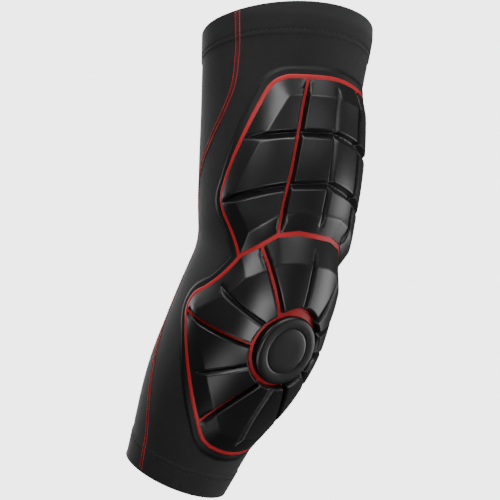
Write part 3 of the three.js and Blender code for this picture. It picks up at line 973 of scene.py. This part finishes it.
def band(name, rows, middle, lean, spread, material):
    """The low flat ridge of joined cloth between the two rows of stitches."""
    profile = [(-1.9, -0.15), (-1.6, 0.14), (-1.1, 0.22), (-0.25, 0.26), (0, 0.1), (0.25, 0.26),
               (1.1, 0.22), (1.6, 0.14), (1.9, -0.15)]
    lines = []
    for offset, height in profile:
        shifted = rows - offset * lean
        lines.append(sleeve_point(shifted, middle + offset / spread, hem_height(shifted) + height))
    lines.append(sleeve_point(rows, middle, hem_height(rows) - 0.5))
    grid = np.stack(lines, 1)
    n, m = grid.shape[:2]
    faces = []
    for i in range(n - 1):
        a, b = i * m, (i + 1) * m
        faces += [(a + k, b + k, b + (k + 1) % m, a + (k + 1) % m) for k in range(m)]
    faces.append(tuple(range(m)))
    faces.append(tuple((n - 1) * m + k for k in range(m))[::-1])
    return make_object(name, grid.reshape(-1, 3), faces, material)


def build_hem_stitches(thread):
    turns = np.linspace(0, 2 * math.pi, 500)
    for label, row in (("upper", HEM_STITCH_INSET - UPPER_ARM), ("lower", FOREARM - HEM_STITCH_INSET)):
        rows = np.full(len(turns), row)
        path, normals = surface_path(rows, turns * WRAP_RADIUS)
        stitch_tubes(f"hem_{label}_stitches", path, normals, thread,
                     pitch=2.8, length=2.3, radius=0.24, lift=0.12, sink=-0.1)


# Materials

def new_material(name):
    material = bpy.data.materials.new(name)
    material.use_nodes = True
    nodes = material.node_tree.nodes
    return material, nodes, material.node_tree.links, nodes["Principled BSDF"]


def node(nodes, kind, **inputs):
    made = nodes.new(kind)
    for key, value in inputs.items():
        made.inputs[key.replace("_", " ")].default_value = value
    return made


def object_coordinates(nodes):
    return nodes.new("ShaderNodeTexCoord").outputs["Object"]


def varied_colour(nodes, links, source, dark, light, low=0.3, high=0.7):
    ramp = nodes.new("ShaderNodeValToRGB")
    ramp.color_ramp.elements[0].position = low
    ramp.color_ramp.elements[1].position = high
    ramp.color_ramp.elements[0].color = (*dark, 1)
    ramp.color_ramp.elements[1].color = (*light, 1)
    links.new(source, ramp.inputs["Fac"])
    return ramp.outputs["Color"]


def varied_value(nodes, links, source, low, high):
    spread = nodes.new("ShaderNodeMapRange")
    spread.inputs["To Min"].default_value = low
    spread.inputs["To Max"].default_value = high
    links.new(source, spread.inputs["Value"])
    return spread.outputs["Result"]


def foam_material():
    material, nodes, links, shader = new_material("satin_foam")
    place = object_coordinates(nodes)
    broad = node(nodes, "ShaderNodeTexNoise", Scale=45.0, Detail=3.0)
    grain = node(nodes, "ShaderNodeTexNoise", Scale=2600.0, Detail=2.0)
    for texture in (broad, grain):
        links.new(place, texture.inputs["Vector"])
    dark, light = (0.0062, 0.0062, 0.0065), (0.0085, 0.0085, 0.0088)
    colour = varied_colour(nodes, links, broad.outputs["Fac"], dark, light)
    links.new(colour, shader.inputs["Base Color"])
    links.new(varied_value(nodes, links, broad.outputs["Fac"], 0.31, 0.38), shader.inputs["Roughness"])
    bump = node(nodes, "ShaderNodeBump", Strength=0.12, Distance=0.0001)
    links.new(grain.outputs["Fac"], bump.inputs["Height"])
    links.new(bump.outputs["Normal"], shader.inputs["Normal"])
    shader.inputs["Specular IOR Level"].default_value = 0.5
    return material


def film_material(name, dark, light, roughness):
    material, nodes, links, shader = new_material(name)
    place = object_coordinates(nodes)
    broad = node(nodes, "ShaderNodeTexNoise", Scale=60.0, Detail=3.0)
    grain = node(nodes, "ShaderNodeTexNoise", Scale=3000.0, Detail=1.0)
    for texture in (broad, grain):
        links.new(place, texture.inputs["Vector"])
    links.new(varied_colour(nodes, links, broad.outputs["Fac"], dark, light), shader.inputs["Base Color"])
    links.new(varied_value(nodes, links, broad.outputs["Fac"], roughness - 0.05, roughness + 0.05),
              shader.inputs["Roughness"])
    bump = node(nodes, "ShaderNodeBump", Strength=0.15, Distance=0.0001)
    links.new(grain.outputs["Fac"], bump.inputs["Height"])
    links.new(bump.outputs["Normal"], shader.inputs["Normal"])
    shader.inputs["Specular IOR Level"].default_value = 0.35
    return material


def knit_material():
    material, nodes, links, shader = new_material("charcoal_knit")
    place = object_coordinates(nodes)
    ribs = node(nodes, "ShaderNodeTexWave", Scale=420.0, Distortion=0.6, Detail=1.0)
    ribs.bands_direction = "X"
    courses = node(nodes, "ShaderNodeTexWave", Scale=330.0, Distortion=0.6, Detail=1.0)
    courses.bands_direction = "Z"
    melange = node(nodes, "ShaderNodeTexNoise", Scale=900.0, Detail=2.0)
    broad = node(nodes, "ShaderNodeTexNoise", Scale=14.0, Detail=2.0)
    for texture in (ribs, courses, melange, broad):
        links.new(place, texture.inputs["Vector"])
    weave = nodes.new("ShaderNodeMath")
    weave.operation = "MULTIPLY"
    links.new(ribs.outputs["Fac"], weave.inputs[0])
    links.new(courses.outputs["Fac"], weave.inputs[1])
    blend = nodes.new("ShaderNodeMath")
    blend.operation = "MULTIPLY_ADD"
    blend.inputs[1].default_value = 0.35
    links.new(melange.outputs["Fac"], blend.inputs[0])
    links.new(broad.outputs["Fac"], blend.inputs[2])
    dark, light = (0.012, 0.012, 0.0128), (0.021, 0.021, 0.022)
    colour = varied_colour(nodes, links, blend.outputs["Value"], dark, light, low=0.45, high=0.9)
    links.new(colour, shader.inputs["Base Color"])
    bump = node(nodes, "ShaderNodeBump", Strength=0.35, Distance=0.00015)
    links.new(weave.outputs["Value"], bump.inputs["Height"])
    links.new(bump.outputs["Normal"], shader.inputs["Normal"])
    shader.inputs["Roughness"].default_value = 0.85
    shader.inputs["Specular IOR Level"].default_value = 0.25
    shader.inputs["Sheen Weight"].default_value = 0.12
    shader.inputs["Sheen Roughness"].default_value = 0.5
    return material


def thread_material(name, dark, light):
    material, nodes, links, shader = new_material(name)
    place = object_coordinates(nodes)
    twist = node(nodes, "ShaderNodeTexNoise", Scale=1500.0, Detail=2.0)
    links.new(place, twist.inputs["Vector"])
    links.new(varied_colour(nodes, links, twist.outputs["Fac"], dark, light), shader.inputs["Base Color"])
    bump = node(nodes, "ShaderNodeBump", Strength=0.3, Distance=0.0001)
    links.new(twist.outputs["Fac"], bump.inputs["Height"])
    links.new(bump.outputs["Normal"], shader.inputs["Normal"])
    shader.inputs["Roughness"].default_value = 0.6
    return material


# Camera, light and floor

# The camera's angles round the object, its distance and the offset of the object in the picture
CAMERA_AZIMUTH = -41.97
CAMERA_ELEVATION = -10.35
CAMERA_ROLL = 2.16
CAMERA_DISTANCE = 1329.0
CAMERA_SHIFT_RIGHT = -15.89
CAMERA_SHIFT_UP = 4.36
CAMERA_LENS = 161.7

# Floor, world and lights, in metres, degrees and the renderer's own strengths
FLOOR_HEIGHT = -0.75
FLOOR_HALF_SIZE = 8.0
FLOOR_GLOW = 3.8
WORLD_SEEN = 4.0
WORLD_LIT = 0.09
LIGHT_SPREAD = 70.0


def camera_axes():
    az, el, roll = (math.radians(a) for a in (CAMERA_AZIMUTH, CAMERA_ELEVATION, CAMERA_ROLL))
    back = Vector((math.sin(az) * math.cos(el), -math.cos(az) * math.cos(el), math.sin(el)))
    right = Vector((math.cos(az), math.sin(az), 0))
    up = back.cross(right)
    turned_right = math.cos(roll) * right + math.sin(roll) * up
    turned_up = -math.sin(roll) * right + math.cos(roll) * up
    return turned_right, turned_up, back


def build_camera():
    right, up, back = camera_axes()
    data = bpy.data.cameras.new("camera")
    data.sensor_fit = "HORIZONTAL"
    data.sensor_width = 36
    data.lens = CAMERA_LENS
    camera = bpy.data.objects.new("camera", data)
    place = (CAMERA_SHIFT_RIGHT * right + CAMERA_SHIFT_UP * up + CAMERA_DISTANCE * back) * MM
    camera.matrix_world = Matrix.Translation(place) @ Matrix((right, up, back)).transposed().to_4x4()
    bpy.context.scene.collection.objects.link(camera)
    bpy.context.scene.camera = camera


def area_light(name, azimuth, elevation, distance, size, power):
    """A soft light that looks at the middle of the object, its angles measured as the camera's are."""
    az, el = math.radians(azimuth), math.radians(elevation)
    away = Vector((math.sin(az) * math.cos(el), -math.cos(az) * math.cos(el), math.sin(el)))
    data = bpy.data.lights.new(name, "AREA")
    data.shape = "RECTANGLE"
    data.size, data.size_y = size
    data.energy = power
    data.spread = math.radians(LIGHT_SPREAD)
    light = bpy.data.objects.new(name, data)
    light.location = away * distance
    light.rotation_euler = (-away).to_track_quat("-Z", "Y").to_euler()
    bpy.context.scene.collection.objects.link(light)


def build_floor():
    """A pale floor that glows by itself and neither lights the object nor shows in its gloss."""
    mesh = bpy.data.meshes.new("floor")
    grid = bmesh.new()
    bmesh.ops.create_grid(grid, x_segments=4, y_segments=4, size=FLOOR_HALF_SIZE)
    grid.to_mesh(mesh)
    grid.free()
    floor = bpy.data.objects.new("floor", mesh)
    floor.location = (0, 0, FLOOR_HEIGHT)
    material, _, _, shader = new_material("pale_floor")
    shader.inputs["Base Color"].default_value = (0.8, 0.8, 0.8, 1)
    shader.inputs["Roughness"].default_value = 0.9
    shader.inputs["Emission Color"].default_value = (1, 1, 1, 1)
    shader.inputs["Emission Strength"].default_value = FLOOR_GLOW
    floor.visible_diffuse = False
    floor.visible_glossy = False
    mesh.materials.append(material)
    bpy.context.scene.collection.objects.link(floor)


def build_lights():
    area_light("key", -60, 25, 1.6, (0.8, 0.5), 2.3)
    area_light("front", 8, 25, 1.6, (1.3, 0.6), 1.9)
    area_light("top", -40, 78, 1.5, (0.9, 0.6), 4.5)
    area_light("left_back", -140, 44, 1.6, (1.0, 0.8), 0.5)
    area_light("below", -66, -56, 1.5, (0.8, 0.6), 0.8)
    area_light("below_front", -18, -34, 1.5, (0.7, 0.5), 1.6)
    area_light("right", 68, -12, 1.6, (0.8, 0.8), 1.5)
    area_light("behind", 165, 20, 1.8, (1.6, 1.0), 3.4)


def build_world():
    """Pale where the camera sees it, and a faint even light for the object."""
    world = bpy.data.worlds.new("studio")
    bpy.context.scene.world = world
    world.use_nodes = True
    nodes, links = world.node_tree.nodes, world.node_tree.links
    seen = nodes["Background"]
    seen.inputs["Color"].default_value = (WORLD_SEEN, WORLD_SEEN, WORLD_SEEN, 1)
    lit = nodes.new("ShaderNodeBackground")
    lit.inputs["Color"].default_value = (WORLD_LIT, WORLD_LIT, WORLD_LIT, 1)
    mix = nodes.new("ShaderNodeMixShader")
    rays = nodes.new("ShaderNodeLightPath")
    links.new(rays.outputs["Is Camera Ray"], mix.inputs["Fac"])
    links.new(lit.outputs["Background"], mix.inputs[1])
    links.new(seen.outputs["Background"], mix.inputs[2])
    links.new(mix.outputs["Shader"], nodes["World Output"].inputs["Surface"])


def main():
    build_camera()
    build_floor()
    build_lights()
    build_world()
    knit = knit_material()
    red = film_material("red_film", (0.42, 0.014, 0.018), (0.5, 0.018, 0.022), 0.45)
    black = film_material("black_film", (0.004, 0.004, 0.0042), (0.007, 0.007, 0.0072), 0.55)
    build_sleeve(knit)
    build_films(black, red)
    build_blocks(foam_material())
    build_cap(bpy.data.materials["satin_foam"])
    build_seams(thread_material("red_thread", (0.34, 0.012, 0.013), (0.5, 0.02, 0.02)),
                thread_material("dark_red_cover", (0.03, 0.004, 0.004), (0.07, 0.008, 0.008)), knit)
    build_hem_stitches(thread_material("black_thread", (0.006, 0.006, 0.006), (0.012, 0.012, 0.012)))


main()
